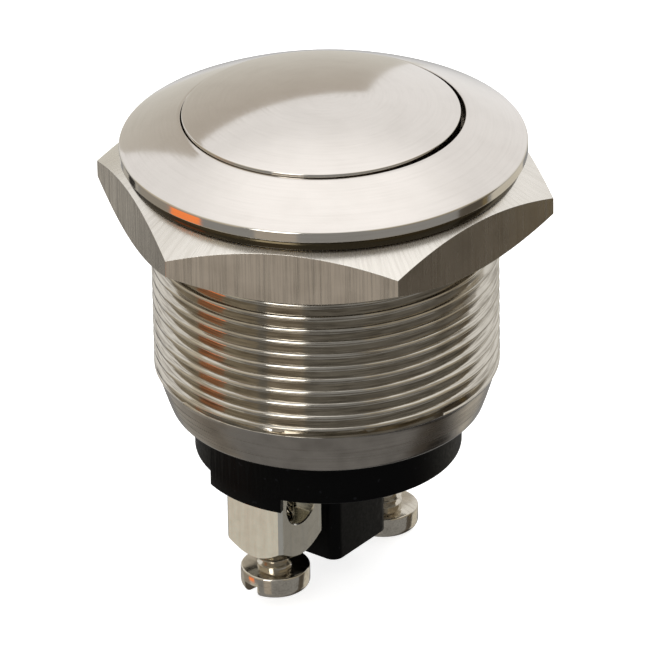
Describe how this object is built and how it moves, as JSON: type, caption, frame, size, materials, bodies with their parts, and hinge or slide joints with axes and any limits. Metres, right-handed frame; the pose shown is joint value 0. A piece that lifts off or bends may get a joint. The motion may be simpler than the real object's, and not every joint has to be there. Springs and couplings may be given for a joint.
{
  "type": "pushbutton switch",
  "caption": "Domed metal momentary pushbutton for a round panel hole, with a threaded barrel, a hex nut and screw terminals on a black base.",
  "frame": {"origin": "centre of the panel face on the switch's axis, where the gasket's lower face seats", "axes": "+Z out of the panel through the button; the two terminals stand on a line through the axis, turned 52.5 degrees from +X towards +Y"},
  "size_m": [0.0248, 0.024, 0.0287],
  "materials": {
    "nickel_body": "bright nickel plate over turned brass, fine concentric brushing",
    "nickel_button": "bright nickel plate over turned brass, fine concentric brushing",
    "nickel_nut": "bright nickel plate over milled brass",
    "nickel_terminal": "bright nickel plate",
    "black_nylon": "moulded black nylon",
    "black_rubber": "black nitrile rubber",
    "white_acetal": "natural acetal",
    "contact_brass": "bare brass",
    "contact_silver": "bare silver",
    "spring_steel": "drawn steel wire"
  },
  "bodies": {
    "switch_body": {"body_shell": "nickel_body", "panel_gasket": "black_rubber", "guide_bush": "white_acetal", "return_spring": "spring_steel", "base_seal_ring": "black_rubber", "terminal_base": "black_nylon", "terminal_post_front": "nickel_terminal", "terminal_post_rear": "nickel_terminal", "fixed_contact_front": "contact_silver", "fixed_contact_rear": "contact_silver"},
    "button": {"button_cap": "nickel_button", "button_seal_ring": "black_rubber", "plunger": "white_acetal", "contact_spring": "spring_steel", "contact_bridge": "contact_brass", "bridge_contact_front": "contact_silver", "bridge_contact_rear": "contact_silver", "bridge_clip": "spring_steel"},
    "nut": {"hex_nut": "nickel_nut"},
    "front_screw": {"terminal_screw_front": "nickel_terminal"},
    "rear_screw": {"terminal_screw_rear": "nickel_terminal"}
  },
  "joints": [
    {"name": "button_press", "type": "slide", "parent": "switch_body", "child": "button", "axis": [0, 0, -1], "range_m": [0, 0.0015], "stiffness_N_per_m": 1000, "springref_m": -0.003, "deforming": ["return_spring"]},
    {"name": "nut_run", "type": "slide", "parent": "switch_body", "child": "nut", "axis": [0, 0, -1], "range_m": [0, 0.0086]},
    {"name": "front_screw_run", "type": "slide", "parent": "switch_body", "child": "front_screw", "axis": [0, 0, 1], "range_m": [-0.0012, 0.0007]},
    {"name": "rear_screw_run", "type": "slide", "parent": "switch_body", "child": "rear_screw", "axis": [0, 0, 1], "range_m": [-0.00045, 0.00145]}
  ]
}
